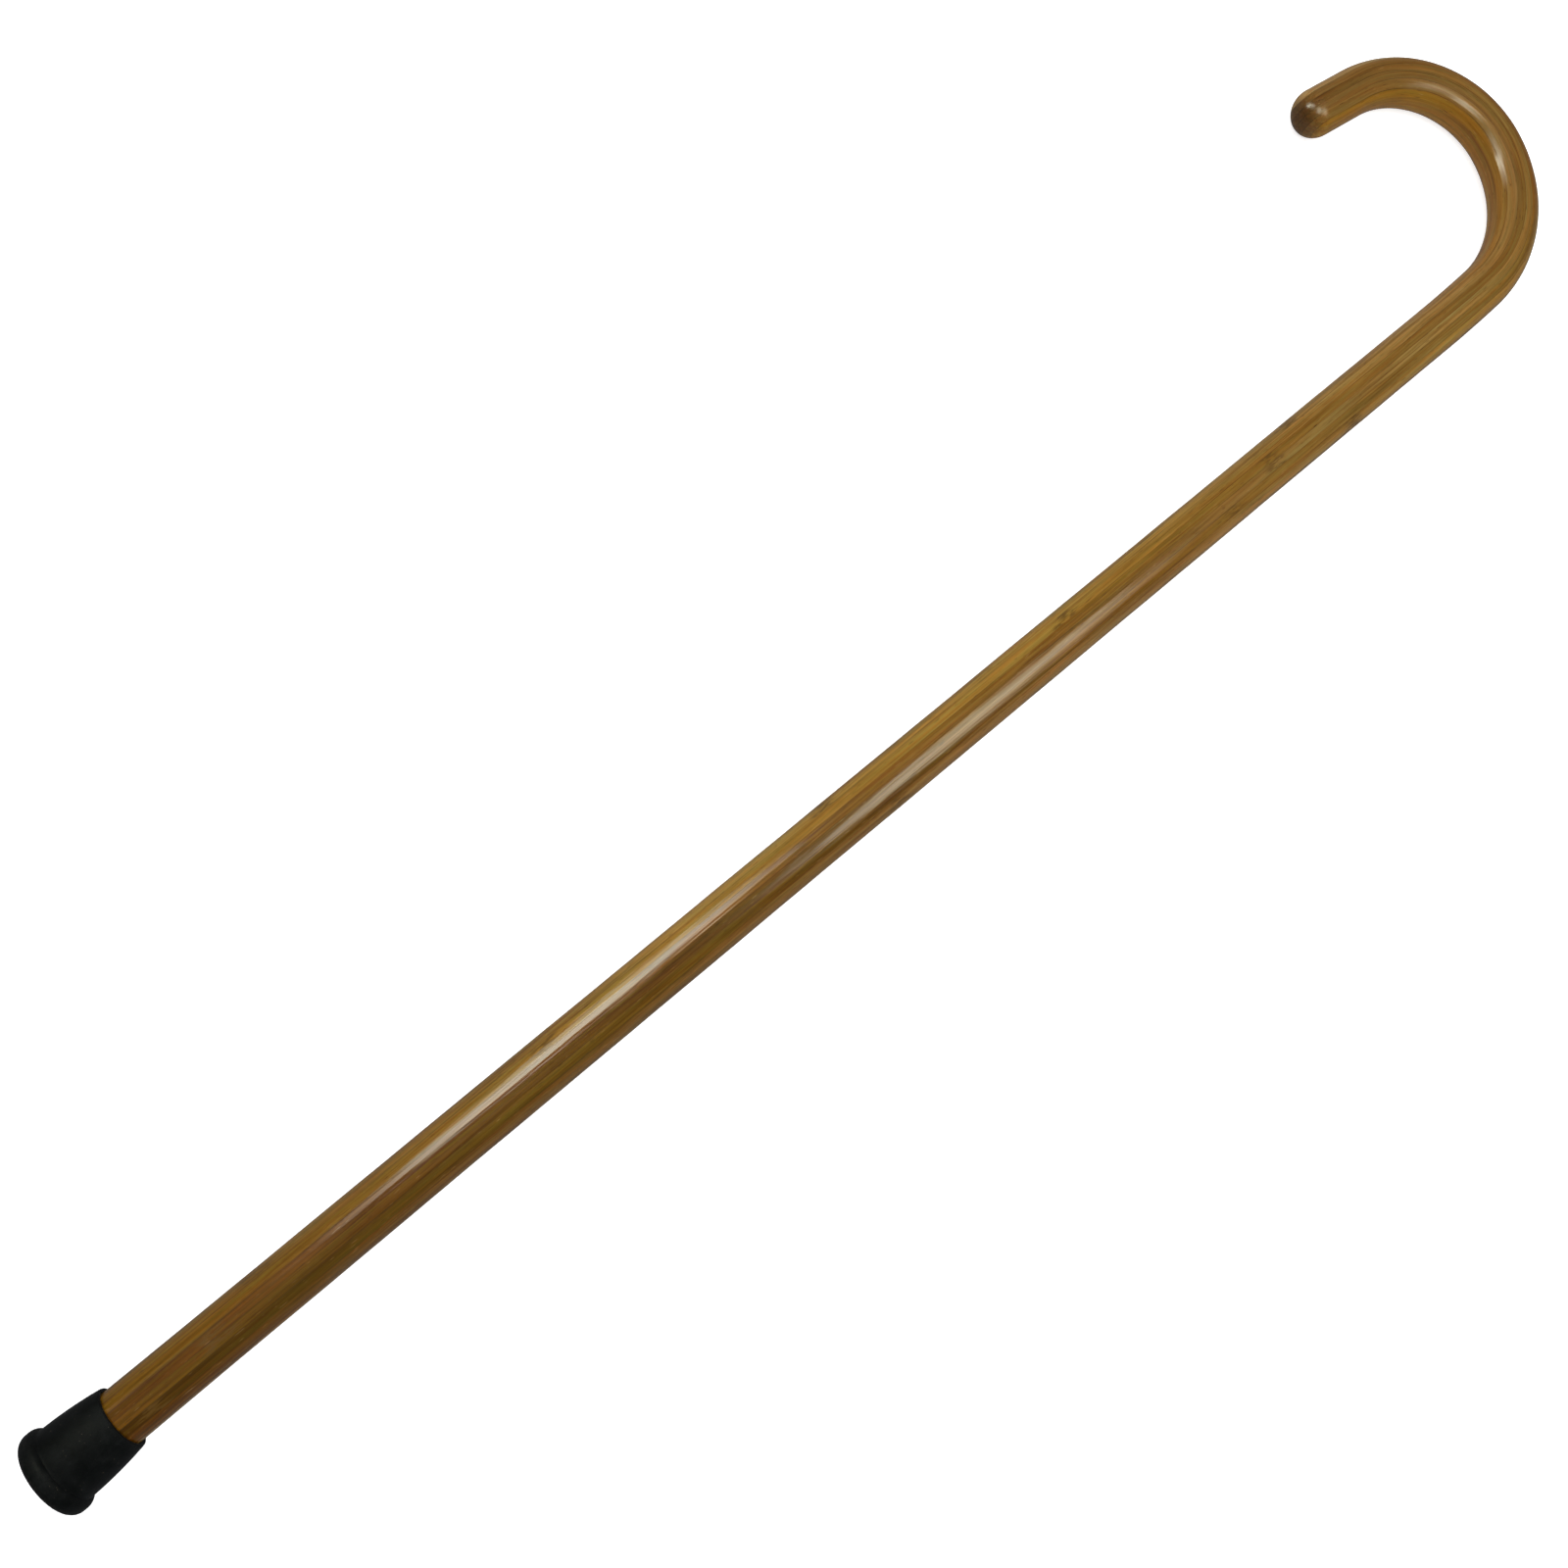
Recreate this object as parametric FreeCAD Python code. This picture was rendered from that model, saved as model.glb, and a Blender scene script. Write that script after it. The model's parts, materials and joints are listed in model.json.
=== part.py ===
import FreeCAD, Part
import math
import os

# Crook-handled walking cane of laminated bamboo, with a push-on rubber ferrule.
#
# Bench frame, in millimetres: the shaft's axis is the X axis, from the ferrule's
# ground face at X = 0 towards the crook. The crook bends towards +Y in the XY
# plane. Each finished piece is then laid down: the cane rests on the XY plane on
# the ferrule's flange and the underside of its crook, as a cane lies on a floor,
# with the bottom centre of its box at the origin.

V = FreeCAD.Vector
X_AXIS = V(1, 0, 0)
Z_AXIS = V(0, 0, 1)
ORIGIN = V(0, 0, 0)

# --- driving dimensions of the stick -------------------------------------------
overall_length = 914.0      # ground face to the top of the crook, 36 inches
stock_radius = 12.0         # 24 mm round stock from foot to tip
crook_turns = (             # tangent arcs from the shaft to the tip: radius, degrees
    (870.0, 2.4),           # the blank's slow lead into the bend
    (68.6, 73.8),           # shoulder
    (54.8, 96.9),           # nose, over the top and down to the tip
)
tip_straight = 23.2         # straight end before the hemispherical tip
foot_chamfer = 1.0          # broken edge of the end grain inside the ferrule

# Strips glued flat to flat and bent together, counted from the outside of the bend
strip_thickness = 3.96
outer_glue_line = 11.16     # outermost glue line, from the stock's axis
glue_line_count = 6

# --- driving dimensions of the ferrule: height above the ground face, and radius --
ferrule_height = 33.5
flange_radius = 18.3
flange_round = 3.4          # from the ground face up to the flange's side
flange_side_top = 4.9
shoulder_round = 3.3        # from the flange's side in to the collar
collar_foot_radius = 16.2
collar_middle = (20.9, 15.5)
collar_top = (32.7, 13.85)
mouth_lip = 0.8             # rounded outer edge of the mouth
bore_clearance = 0.04       # running clearance round the stock, on the radius
mouth_chamfer = 0.5

# Steel washer, captive in a pocket under the end of the shaft
washer_radius = 12.4
washer_thickness = 1.2
washer_hole_radius = 3.2
washer_seat = 8.0           # the pocket's floor, above the ground face
pocket_clearance = 0.05

# Rings moulded into the ground face, from the centre outwards
disc_radius = 5.7
inner_groove_radius = 6.3
inner_groove_depth = 2.0
crest_radius = 8.2
ring_radius = 8.8
outer_groove_depth = 2.5
ground_ring_radius = 10.1
edge_break = 0.3

# --- worked out from the driving dimensions --------------------------------------
band_margin = 1.0           # how far the cutting bands reach past the stock
foot_height = washer_seat + washer_thickness


def along(heading):
    """Direction of travel at a heading, in radians from +X towards +Y."""
    return V(math.cos(heading), math.sin(heading), 0)


def outward(heading):
    """Direction towards the outside of the bend at a heading."""
    return V(math.sin(heading), -math.cos(heading), 0)


def walk_crook(start_x):
    """Arcs of the centreline as (centre, radius, first heading, last heading)."""
    arcs = []
    point = V(start_x, 0, 0)
    heading = 0.0
    for radius, degrees in crook_turns:
        centre = point - outward(heading) * radius
        turned = heading + math.radians(degrees)
        arcs.append((centre, radius, heading, turned))
        point = centre + outward(turned) * radius
        heading = turned
    return arcs


def crook_rise():
    """Height of the crook's top above its start, taken where the nose turns back."""
    centre, radius, _, _ = walk_crook(0.0)[-1]
    return centre.x + radius + stock_radius


crook_start = overall_length - crook_rise()
arcs = walk_crook(crook_start)


def offset_point(arc, heading, offset):
    """Point on an arc of the crook, moved outwards from the centreline."""
    centre, radius, _, _ = arc
    return centre + outward(heading) * (radius + offset)


def offset_edges(offset):
    """The centreline moved outwards, with both ends run on past the stock."""
    start = V(foot_height - band_margin, -offset, 0)
    edges = [Part.makeLine(start, V(crook_start, -offset, 0))]
    for arc in arcs:
        first, last = arc[2], arc[3]
        middle = (first + last) / 2
        points = [offset_point(arc, h, offset) for h in (first, middle, last)]
        edges.append(Part.Arc(*points).toShape())
    tip = offset_point(arcs[-1], arcs[-1][3], offset)
    reach = tip_straight + stock_radius + band_margin
    edges.append(Part.makeLine(tip, tip + along(arcs[-1][3]) * reach))
    return edges


def strip_band(inner, outer):
    """Slab that follows the bend between two offsets, tall enough to cut the stock."""
    outside = offset_edges(outer)
    inside = offset_edges(inner)
    foot_cap = Part.makeLine(outside[0].Vertexes[0].Point, inside[0].Vertexes[0].Point)
    tip_cap = Part.makeLine(outside[-1].Vertexes[-1].Point, inside[-1].Vertexes[-1].Point)
    outline = Part.Wire(Part.__sortEdges__(outside + [tip_cap] + inside + [foot_cap]))
    half_height = stock_radius + band_margin
    slab = Part.Face(outline).extrude(Z_AXIS * 2 * half_height)
    slab.translate(Z_AXIS * -half_height)
    return slab


def round_stock():
    """The whole stick as one round bar: chamfered foot, shaft, crook and domed tip."""
    foot = V(foot_height, 0, 0)
    body_start = foot + X_AXIS * foot_chamfer
    end_radius = stock_radius - foot_chamfer
    shaft_length = crook_start - body_start.x
    pieces = [
        Part.makeCone(end_radius, stock_radius, foot_chamfer, foot, X_AXIS),
        Part.makeCylinder(stock_radius, shaft_length, body_start, X_AXIS),
    ]
    for arc in arcs:
        centre, _, first, last = arc
        circle = Part.makeCircle(stock_radius, offset_point(arc, first, 0), along(first))
        section = Part.Face(Part.Wire(circle))
        pieces.append(section.revolve(centre, Z_AXIS, math.degrees(last - first)))
    tip_heading = arcs[-1][3]
    tip_start = offset_point(arcs[-1], tip_heading, 0)
    forward = along(tip_heading)
    dome_centre = tip_start + forward * tip_straight
    pieces.append(Part.makeCylinder(stock_radius, tip_straight, tip_start, forward))
    pieces.append(Part.makeSphere(stock_radius, dome_centre, forward, 0, 90, 360))
    return pieces[0].fuse(pieces[1:]).removeSplitter()


def bamboo_strips():
    """The bar split along its glue lines, strip 1 on the outside of the bend."""
    bar = round_stock()
    edge = stock_radius + band_margin
    lines = [outer_glue_line - i * strip_thickness for i in range(glue_line_count)]
    limits = [edge] + lines + [-edge]
    strips = {}
    for number in range(1, len(limits)):
        band = strip_band(limits[number], limits[number - 1])
        strips[f"bamboo_strip_{number}"] = bar.common(band).removeSplitter()
    return strips


def revolved(edges):
    """Solid turned about the shaft's axis from a closed profile."""
    return Part.Face(Part.Wire(edges)).revolve(ORIGIN, X_AXIS, 360)


def polyline(points):
    """Straight edges through points given as (height, radius)."""
    corners = [V(height, radius, 0) for height, radius in points]
    return [Part.makeLine(a, b) for a, b in zip(corners, corners[1:])]


def arc_through(first, middle, last):
    """One arc edge through three points given as (height, radius)."""
    return Part.Arc(*(V(height, radius, 0) for height, radius in (first, middle, last))).toShape()


def quarter_round(centre, radius, start_degrees):
    """Quarter circle in the profile plane, turning from the height axis to the radius axis."""
    points = []
    for step in (0, 45, 90):
        angle = math.radians(start_degrees - step)
        points.append((centre[0] + radius * math.cos(angle), centre[1] + radius * math.sin(angle)))
    return points


def rubber_ferrule():
    """Bell-shaped tip: ringed ground face, rounded flange, tapered collar and bore."""
    disc_edge = edge_break * 2
    ground_edge = flange_radius - flange_round
    ring_points = [
        (washer_seat, 0),
        (0, 0),
        (0, disc_radius - disc_edge),
        (edge_break, disc_radius),
        (inner_groove_depth, disc_radius),
        (inner_groove_depth, inner_groove_radius),
        (edge_break, crest_radius - edge_break),
        (0, crest_radius),
        (0, ring_radius - edge_break),
        (edge_break, ring_radius),
        (outer_groove_depth, ring_radius),
        (outer_groove_depth, ground_ring_radius - edge_break),
        (edge_break, ground_ring_radius),
        (0, ground_ring_radius + edge_break),
        (0, ground_edge),
    ]
    flange = quarter_round((flange_round, ground_edge), flange_round, 180)
    shoulder_centre = (flange_side_top, flange_radius - shoulder_round)
    foot_rise = math.sqrt(shoulder_round**2 - (collar_foot_radius - shoulder_centre[1])**2)
    collar_foot = (flange_side_top + foot_rise, collar_foot_radius)
    half_turn = math.atan2(collar_foot[1] - shoulder_centre[1], foot_rise) / 2 + math.pi / 4
    shoulder_middle = (
        shoulder_centre[0] + shoulder_round * math.cos(half_turn),
        shoulder_centre[1] + shoulder_round * math.sin(half_turn),
    )
    lip_middle = (
        ferrule_height - mouth_lip * (1 - math.cos(math.pi / 4)),
        collar_top[1] - mouth_lip * (1 - math.sin(math.pi / 4)),
    )
    mouth_edge = (ferrule_height, collar_top[1] - mouth_lip)
    bore_radius = stock_radius + bore_clearance
    pocket_radius = washer_radius + pocket_clearance
    bore_points = [
        mouth_edge,
        (ferrule_height, bore_radius + mouth_chamfer),
        (ferrule_height - mouth_chamfer, bore_radius),
        (foot_height, bore_radius),
        (foot_height, pocket_radius),
        (washer_seat, pocket_radius),
        (washer_seat, 0),
    ]
    edges = polyline(ring_points)
    edges.append(arc_through(*flange))
    edges += polyline([flange[-1], (flange_side_top, flange_radius)])
    edges.append(arc_through((flange_side_top, flange_radius), shoulder_middle, collar_foot))
    edges.append(arc_through(collar_foot, collar_middle, collar_top))
    edges.append(arc_through(collar_top, lip_middle, mouth_edge))
    edges += polyline(bore_points)
    return revolved(edges)


def steel_washer():
    """Disc that keeps the end of the shaft from cutting through the rubber."""
    return revolved(polyline([
        (washer_seat, washer_hole_radius),
        (foot_height, washer_hole_radius),
        (foot_height, washer_radius),
        (washer_seat, washer_radius),
        (washer_seat, washer_hole_radius),
    ]))


def lying_placement():
    """Tilt that lays the crook on the floor with the flange, box centred on the origin."""
    top_x = overall_length - stock_radius
    drop = flange_radius - stock_radius
    tilt = math.asin(drop / (top_x - flange_side_top))
    tip_heading = arcs[-1][3]
    dome_y = offset_point(arcs[-1], tip_heading, 0).y + along(tip_heading).y * tip_straight
    middle_y = (dome_y + stock_radius - flange_radius) / 2
    floor_gap = stock_radius + top_x * math.sin(tilt)
    rotation = FreeCAD.Rotation(V(0, 1, 0), math.degrees(tilt))
    return FreeCAD.Placement(V(-overall_length / 2, -middle_y, floor_gap), rotation)


def main():
    nodes = bamboo_strips()
    nodes["rubber_ferrule"] = rubber_ferrule()
    nodes["steel_washer"] = steel_washer()
    laid_down = lying_placement()
    os.makedirs("parts", exist_ok=True)
    for name, shape in nodes.items():
        solid = shape.Solids[0]
        solid.transformShape(laid_down.toMatrix())
        solid.exportStep(f"parts/{name}.step")
        print(name, len(shape.Solids), solid.isValid(), round(solid.Volume, 1))
    print("laid down by", laid_down)


main()
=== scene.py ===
import json
import math

import bpy
import numpy as np
from mathutils import Matrix, Vector


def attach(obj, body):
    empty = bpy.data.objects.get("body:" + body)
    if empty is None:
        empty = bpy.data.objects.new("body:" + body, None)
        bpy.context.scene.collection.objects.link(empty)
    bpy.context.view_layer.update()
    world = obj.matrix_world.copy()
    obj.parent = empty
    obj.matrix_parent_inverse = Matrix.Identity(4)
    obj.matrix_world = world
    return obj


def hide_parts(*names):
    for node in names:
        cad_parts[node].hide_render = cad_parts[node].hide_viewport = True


# Crook-handled walking cane of laminated bamboo with a push-on rubber ferrule: the
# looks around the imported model. The strips, the ferrule and the washer are each
# rebuilt as a fine mesh in the same place as their CAD node.
#
# Shapes are worked out in the bench frame and in millimetres: X runs up the shaft
# from the ferrule's ground face, the crook bends towards +Y, and Z is square to the
# crook. laid() turns bench points into the row frame, in metres.

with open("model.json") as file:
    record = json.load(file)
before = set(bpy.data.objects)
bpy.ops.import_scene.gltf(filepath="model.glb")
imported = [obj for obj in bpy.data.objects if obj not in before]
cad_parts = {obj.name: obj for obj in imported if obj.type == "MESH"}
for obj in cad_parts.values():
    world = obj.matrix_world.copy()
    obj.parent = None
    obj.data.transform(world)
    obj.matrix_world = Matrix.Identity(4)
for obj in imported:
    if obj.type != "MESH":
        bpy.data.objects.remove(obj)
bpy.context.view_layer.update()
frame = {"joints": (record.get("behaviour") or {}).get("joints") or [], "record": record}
MM = 0.001

# --- where the cane lies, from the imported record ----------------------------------
mounts = {mount["name"]: mount for mount in frame["record"]["mounts"]}
ground_centre = np.array(mounts["ferrule_ground_face"]["pos_m"])
shaft_axis = -np.array(frame["joints"][0]["axis"], float)
shaft_axis /= np.linalg.norm(shaft_axis)
bend_axis = np.array((0.0, 1.0, 0.0))
bench_axes = np.array((shaft_axis, bend_axis, np.cross(shaft_axis, bend_axis)))

# --- the stick, as it was bent -----------------------------------------------------
OVERALL_LENGTH = 914.0
STOCK_RADIUS = 12.0
CROOK_TURNS = ((870.0, 2.4), (68.6, 73.8), (54.8, 96.9))   # radius, degrees
TIP_STRAIGHT = 23.2
FOOT_HEIGHT = 9.2
FOOT_CHAMFER = 1.0
STRIP_THICKNESS = 3.96
OUTER_GLUE_LINE = 11.16
GLUE_LINE_COUNT = 6

# --- the ferrule: height above the ground face, and radius --------------------------
FERRULE_HEIGHT = 33.5
FLANGE_RADIUS = 18.3
FLANGE_ROUND = 3.4
FLANGE_SIDE_TOP = 4.9
SHOULDER_ROUND = 3.3
COLLAR_FOOT_RADIUS = 16.2
COLLAR_MIDDLE = (20.9, 15.5)
COLLAR_TOP = (32.7, 13.85)
MOUTH_LIP = 0.8
BORE_RADIUS = 12.04
WASHER_SEAT = 8.0
WASHER_RADIUS = 12.4
WASHER_THICKNESS = 1.2
WASHER_HOLE_RADIUS = 3.2
POCKET_RADIUS = 12.45
DISC_RADIUS = 5.7
INNER_GROOVE = (2.0, 6.3)          # depth, radius where its floor ends and its slope begins
CREST_RADIUS = 8.2
RING_RADIUS = 8.8
OUTER_GROOVE_DEPTH = 2.5
GROUND_RING_RADIUS = 10.1
RING_EDGE = 0.3                    # how far the edges of the ground face are broken
CREST_EDGE = 0.25
MOUTH_BEVEL = 0.5

# --- how finely things are built, in millimetres --------------------------------------
STATION_STEP = 1.8                 # along the stick
FOOT_STATIONS = (0.0, 0.08, 0.3, 0.6, 0.85, 1.0, 1.2, 2.0)   # in chamfers above the foot
AROUND_STEP = 0.62                 # across a strip
DOME_STEPS = 22
THINNEST = 0.02                    # a strip begins where this much of it is left
WELDS_PER_MM = 1e5                 # points that round to the same step are one point
SLOPE_STEP = 0.01                  # over which slopes are measured
ARC_STEP = 3                       # degrees
COLLAR_STEPS = 24
OUTLINE_SPACING = 0.08
LONGEST_LEG = 0.9                  # of the ferrule's outline
LONGEST_LEG_ON_DISC = 0.28         # closer on its centre disc, which has pits
DISC_FACE_HEIGHT = 0.2
FERRULE_SEGMENTS = 288
WASHER_SEGMENTS = 160


def laid(points):
    """Bench points in millimetres, laid down in the row frame in metres."""
    return ground_centre + np.asarray(points, float) * MM @ bench_axes


def laid_direction(vectors):
    """Bench directions, turned into the row frame."""
    return np.asarray(vectors, float) @ bench_axes


# ======================= mesh helpers ================================================

def weld(points, faces, tags):
    """Merges points that coincide and drops the faces that this closes up."""
    keys = np.round(points * WELDS_PER_MM).astype(np.int64)
    _, first, merged = np.unique(keys, axis=0, return_index=True, return_inverse=True)
    merged = merged.ravel()
    kept_faces, kept_tags = [], []
    for face, tag in zip(faces, tags):
        corners = []
        for index in face:
            new = int(merged[index])
            if new not in corners:
                corners.append(new)
        if len(corners) > 2:
            kept_faces.append(corners)
            kept_tags.append(tag)
    return first, kept_faces, kept_tags


def new_piece(name, points, faces, material):
    """A mesh object from bench points."""
    mesh = bpy.data.meshes.new(name)
    mesh.from_pydata(laid(points).tolist(), [], faces)
    mesh.materials.append(material)
    piece = bpy.data.objects.new(name, mesh)
    bpy.context.scene.collection.objects.link(piece)
    return piece


def add_point_vector(mesh, name, values):
    """A vector at each point, which the materials read by its name."""
    attribute = mesh.attributes.new(name, "FLOAT_VECTOR", "POINT")
    attribute.data.foreach_set("vector", np.asarray(values, np.float32).ravel())


# ======================= the stick's centreline ======================================

class Centreline:
    """Stations along the stick, as arrays.

    Each has its distance from the ground face, point, heading, outward and forward
    directions, and the stock's radius.
    """

    def __init__(self):
        self.distance, self.point, self.heading = [], [], []
        crook_start = OVERALL_LENGTH - self.crook_rise()
        foot = [FOOT_HEIGHT + FOOT_CHAMFER * share for share in FOOT_STATIONS]
        count = int((crook_start - foot[-1]) / STATION_STEP)
        for x in foot + list(np.linspace(foot[-1], crook_start, count)[1:]):
            self.add(x, (x, 0.0), 0.0)
        for radius, degrees in CROOK_TURNS:
            self.turn(radius, math.radians(degrees))
        self.run(TIP_STRAIGHT)
        self.distance = np.array(self.distance)
        self.point = np.array(self.point)
        self.heading = np.array(self.heading)
        sine, cosine = np.sin(self.heading), np.cos(self.heading)
        self.outward = np.stack([sine, -cosine, 0 * sine], -1)
        self.forward = np.stack([cosine, sine, 0 * sine], -1)
        self.radius = np.array([stock_radius_at(s) for s in self.distance])

    @staticmethod
    def crook_rise():
        """Height of the crook's top above the end of the straight shaft."""
        x, heading = 0.0, 0.0
        for radius, degrees in CROOK_TURNS:
            centre_x = x - radius * math.sin(heading)
            heading += math.radians(degrees)
            x = centre_x + radius * math.sin(heading)
        return centre_x + CROOK_TURNS[-1][0] + STOCK_RADIUS

    def add(self, distance, point, heading):
        """One more station."""
        self.distance.append(distance)
        self.point.append((point[0], point[1], 0.0))
        self.heading.append(heading)

    def turn(self, radius, angle):
        """Stations round an arc, on from the last one."""
        x, y, _ = self.point[-1]
        start, heading = self.distance[-1], self.heading[-1]
        centre = (x - radius * math.sin(heading), y + radius * math.cos(heading))
        steps = max(2, math.ceil(radius * angle / STATION_STEP))
        for step in range(1, steps + 1):
            h = heading + angle * step / steps
            point = (centre[0] + radius * math.sin(h), centre[1] - radius * math.cos(h))
            self.add(start + radius * angle * step / steps, point, h)

    def run(self, length):
        """Stations along a straight, on from the last one."""
        x, y, _ = self.point[-1]
        start, heading = self.distance[-1], self.heading[-1]
        steps = math.ceil(length / STATION_STEP)
        for step in range(1, steps + 1):
            d = length * step / steps
            point = (x + d * math.cos(heading), y + d * math.sin(heading))
            self.add(start + d, point, heading)


def stock_radius_at(distance):
    """Stock radius, less near the foot where its edge is broken."""
    inset = max(0.0, 1.0 - (distance - FOOT_HEIGHT) / FOOT_CHAMFER)
    return STOCK_RADIUS - FOOT_CHAMFER * inset


# Hand sanding leaves the round stock very slightly uneven:
# depth in millimetres, wavelength in millimetres, lobes round the stock, phase
UNEVENNESS = (
    (0.045, 171.0, 1, 0.4),
    (0.040, 97.0, 2, 2.1),
    (0.030, 53.0, 3, 4.0),
    (0.018, 31.0, 2, 5.2),
    (0.014, 19.0, 5, 1.3),
)
UNEVEN_FADE = 30.0                 # it dies out this far from the ferrule and the dome


def unevenness(distance, angle, end):
    """How far the surface lies below the true cylinder."""
    ramp_in = np.clip((distance - FERRULE_HEIGHT) / UNEVEN_FADE, 0, 1)
    ramp_out = np.clip((end - distance) / UNEVEN_FADE, 0, 1)
    fade = (ramp_in * ramp_out) ** 2 * (3 - 2 * ramp_in) * (3 - 2 * ramp_out)
    depth = np.zeros(np.broadcast(distance, angle).shape)
    for amount, wavelength, lobes, phase in UNEVENNESS:
        turn = 2 * math.pi * distance / wavelength + lobes * angle + phase
        depth = depth + amount * (1 + np.sin(turn)) / 2
    return depth * fade


def slope(value_at):
    """Slope of a function of one number, at 0."""
    return (value_at(SLOPE_STEP) - value_at(-SLOPE_STEP)) / (2 * SLOPE_STEP)


# ======================= bamboo strips ===============================================

def strip_side(line, stations, angle):
    """Points, normals and grain of one half of a strip's surface, dome and all."""
    s = line.distance[stations][:, None]
    end = line.distance[-1]
    centre = line.point[stations][:, None, :]
    outward = line.outward[stations][:, None, :]
    forward = line.forward[stations][:, None, :]
    r = line.radius[stations][:, None] - unevenness(s, angle, end)
    u = r * np.cos(angle)
    v = r * np.sin(angle)
    body = centre + outward * u[..., None]
    body[..., 2] += v
    slope_along = slope(lambda d: unevenness(s + d, angle, end))
    slope_round = slope(lambda d: unevenness(s, angle + d, end))
    in_chamfer = s < FOOT_HEIGHT + FOOT_CHAMFER - SLOPE_STEP
    radial = outward * np.cos(angle)[..., None]
    radial[..., 2] += np.sin(angle)
    around = -outward * np.sin(angle)[..., None]
    around[..., 2] += np.cos(angle)
    normal = radial + around * (slope_round / r)[..., None]
    normal = normal + forward * (slope_along - in_chamfer)[..., None]
    grain = np.stack([np.broadcast_to(s, u.shape), u, v], -1)
    # round the dome: every line of the strip goes over it on its own half circle
    u_end, v_end = u[-1], v[-1]
    phi = np.linspace(0, math.pi / 2, DOME_STEPS + 1)[1:, None]
    reach = np.abs(v_end)[None, :] * np.sin(phi)
    height = v_end[None, :] * np.cos(phi)
    dome = line.point[-1] + line.outward[-1] * u_end[None, :, None]
    dome = dome + line.forward[-1] * reach[..., None]
    dome[..., 2] += height
    dome_grain = np.stack([end + reach, np.broadcast_to(u_end, reach.shape), height], -1)
    dome_normal = dome - line.point[-1]
    halves = ((body, dome), (normal, dome_normal), (grain, dome_grain))
    return [np.concatenate(half).reshape(-1, 3) for half in halves]


def strip_mesh(line, low, high):
    """Closed mesh of the layer between two glue planes.

    It comes as points, normals, grain, the fibres' directions, faces and their tags.
    """
    nearest = max(0.0, low, -high)
    first = int(np.argmax(line.radius - THINNEST > nearest))
    stations = np.arange(first, len(line.distance))
    radius = line.radius[stations][:, None]
    theta_start = np.arccos(np.clip(high / radius, -1, 1))
    theta_end = np.arccos(np.clip(low / radius, -1, 1))
    widest = float((theta_end - theta_start).max()) * STOCK_RADIUS
    columns = max(3, math.ceil(widest / AROUND_STEP))
    share = np.linspace(0, 1, columns + 1)[None, :]
    theta = theta_start + (theta_end - theta_start) * share
    upper = strip_side(line, stations, theta)
    lower = strip_side(line, stations, -theta)
    points, normals, grain = [np.concatenate(both) for both in zip(upper, lower)]
    normals /= np.linalg.norm(normals, axis=1)[:, None]
    rows = len(stations) + DOME_STEPS
    runs = np.concatenate([line.forward[stations], np.repeat(line.forward[-1:], DOME_STEPS, 0)])
    runs = np.tile(np.repeat(runs, columns + 1, 0), (2, 1))

    def quad(*corners):
        """A face from its corners, each as (side, row, column)."""
        return [(side * rows + row) * (columns + 1) + column for side, row, column in corners]

    faces, tags = [], []
    for row in range(rows - 1):
        after = row + 1
        for c in range(columns):
            faces.append(quad((0, row, c), (0, after, c), (0, after, c + 1), (0, row, c + 1)))
            faces.append(quad((1, row, c + 1), (1, after, c + 1), (1, after, c), (1, row, c)))
            tags += ["surface", "surface"]
        for c, flip in ((0, False), (columns, True)):
            glue = quad((0, row, c), (1, row, c), (1, after, c), (0, after, c))
            faces.append(glue[::-1] if flip else glue)
            tags.append("glue")
    for c in range(columns):
        faces.append(quad((0, 0, c), (0, 0, c + 1), (1, 0, c + 1), (1, 0, c)))
        tags.append("foot")
    kept, faces, tags = weld(points, faces, tags)
    return points[kept], normals[kept], grain[kept], runs[kept], faces, tags


def bamboo_strip(number, line, low, high, material):
    """One glued layer, with its own material, standing for its CAD node."""
    node = f"bamboo_strip_{number}"
    points, normals, grain, runs, faces, tags = strip_mesh(line, low, high)
    piece = new_piece(f"bamboo_layer_{number}", points, faces, material)
    mesh = piece.data
    add_point_vector(mesh, "grain", grain * MM)
    smooth = np.array([tag == "surface" for tag in tags])
    mesh.polygons.foreach_set("use_smooth", smooth)
    loop_vertex = np.zeros(len(mesh.loops), np.int32)
    mesh.loops.foreach_get("vertex_index", loop_vertex)
    sizes = np.array([len(face) for face in faces])
    loop_face = np.repeat(np.arange(len(faces)), sizes)
    flat = np.array([polygon.normal for polygon in mesh.polygons])
    row_normals = laid_direction(normals)
    loop_normal = np.where(smooth[loop_face][:, None], row_normals[loop_vertex], flat[loop_face])
    mesh.normals_split_custom_set(loop_normal.tolist())
    # how squarely the fibres are cut, from 0 on the sides to 1 on the end grain
    cut = np.abs((loop_normal * laid_direction(runs)[loop_vertex]).sum(1))
    attribute = mesh.attributes.new("end_cut", "FLOAT", "CORNER")
    attribute.data.foreach_set("value", cut.astype(np.float32))
    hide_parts(node)
    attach(piece, "stick")
    return piece


# ======================= turned pieces: ferrule and washer ===========================

def arc_points(centre, radius, start_degrees, end_degrees):
    """Points of an arc in the profile plane, as (height, radius)."""
    steps = max(2, int(abs(end_degrees - start_degrees) / ARC_STEP))
    angles = np.radians(np.linspace(start_degrees, end_degrees, steps + 1))
    return [(centre[0] + radius * math.cos(a), centre[1] + radius * math.sin(a)) for a in angles]


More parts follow.
